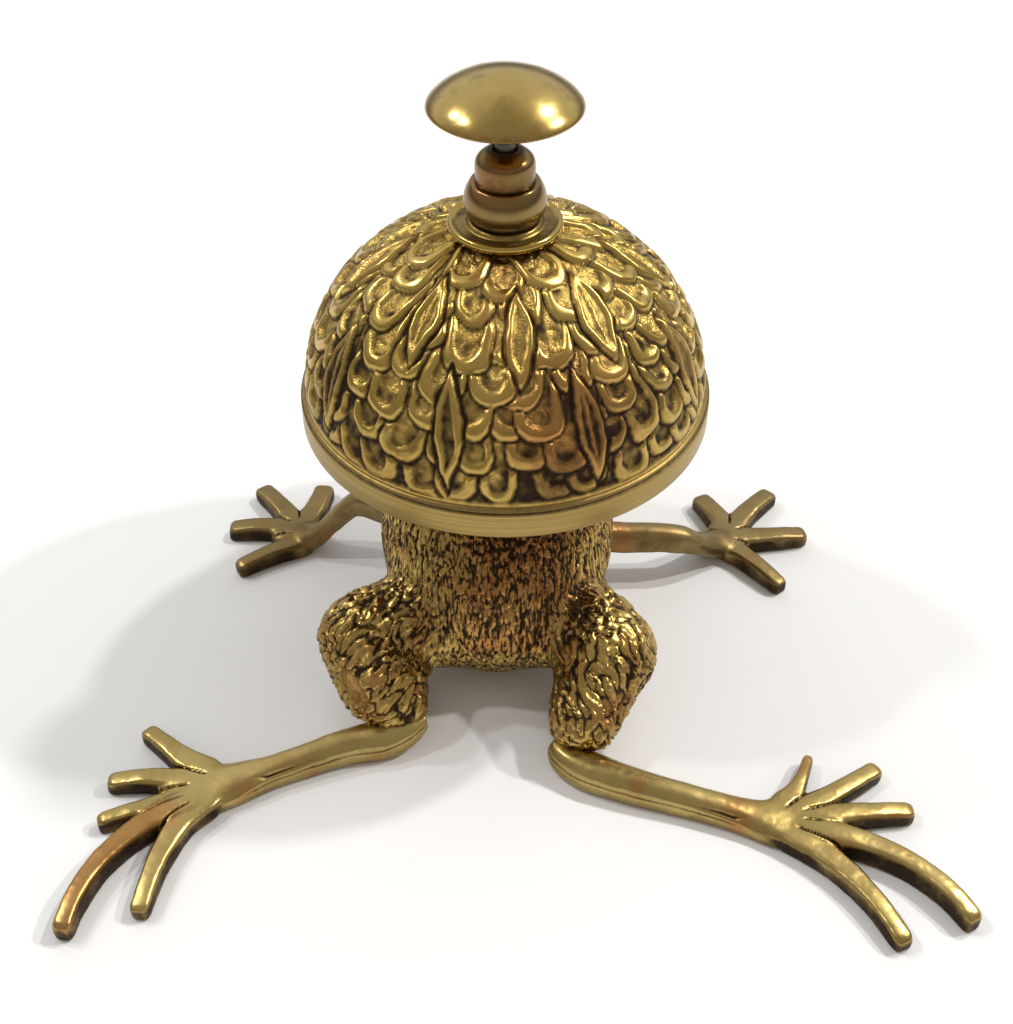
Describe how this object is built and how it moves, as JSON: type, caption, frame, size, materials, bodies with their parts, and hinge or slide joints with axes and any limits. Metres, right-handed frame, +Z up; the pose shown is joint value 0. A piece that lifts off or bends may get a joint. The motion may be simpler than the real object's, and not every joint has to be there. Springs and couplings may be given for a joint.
{
  "type": "counter bell",
  "caption": "Antique brass counter bell: an embossed dome on the back of a crouching frog, with a push knob on top that swings a hidden striker.",
  "frame": {"origin": "the middle of the footprint (of the whole object's box), on the table", "axes": "+Z up along the bell's axis, +Y towards the frog's head, +X to the frog's right foot as seen from behind"},
  "size_m": [0.1588, 0.1266, 0.1177],
  "materials": {
    "antique_brass": "cast and embossed brass, dark brown patina in the hollows, rubbed gold on the high places",
    "filed_brass": "filed satin brass with bevelled, brighter edges and dark brown side walls",
    "polished_brass": "polished brass, slightly tarnished towards the edge",
    "brown_brass": "turned brass with a brown, slightly reddish patina",
    "steel": "plain steel",
    "fibre": "red-brown vulcanised fibre"
  },
  "bodies": {
    "frame": {"frog_body": "antique_brass", "hind_foot_left": "filed_brass", "hind_foot_right": "filed_brass", "foreleg_left": "filed_brass", "foreleg_right": "filed_brass", "base_plate": "polished_brass", "bracket_screw_left": "steel", "bracket_screw_right": "steel", "plate_screw_front": "steel", "striker_bracket": "polished_brass", "pivot_pin": "steel", "pin_clip": "steel", "spring_stud": "polished_brass", "return_spring": "steel", "hollow_spindle": "polished_brass", "bracket_nut_lower": "brown_brass", "bracket_nut_upper": "brown_brass", "dome_nut": "brown_brass", "dome_washer": "fibre", "bell_dome": "antique_brass", "dished_collar": "brown_brass", "bulb_nut": "brown_brass", "cap_nut": "brown_brass"},
    "rod_clip": {"retaining_clip": "steel"},
    "plunger": {"push_knob": "polished_brass", "plunger_rod": "steel"},
    "striker": {"striker_arm": "steel", "hammer_head": "polished_brass"}
  },
  "joints": [
    {"name": "plunger_slide", "type": "slide", "parent": "frame", "child": "rod_clip", "axis": [0, 0, -1], "range_m": [0, 0.004], "stiffness_N_per_m": 300, "springref_m": -0.004, "deforming": ["return_spring"]},
    {"name": "knob_spin", "type": "hinge", "parent": "rod_clip", "child": "plunger", "pos_m": [-0.00235, 0.02164, 0.1122], "axis": [0, 0, 1], "continuous": true},
    {"name": "striker_swing", "type": "hinge", "parent": "frame", "child": "striker", "pos_m": [-0.00235, 0.01364, 0.0673], "axis": [-1, 0, 0], "range_deg": [0, 28]}
  ],
  "couplings": [
    {"joint": "striker_swing", "follows": "plunger_slide", "rad_per_m": 122}
  ]
}
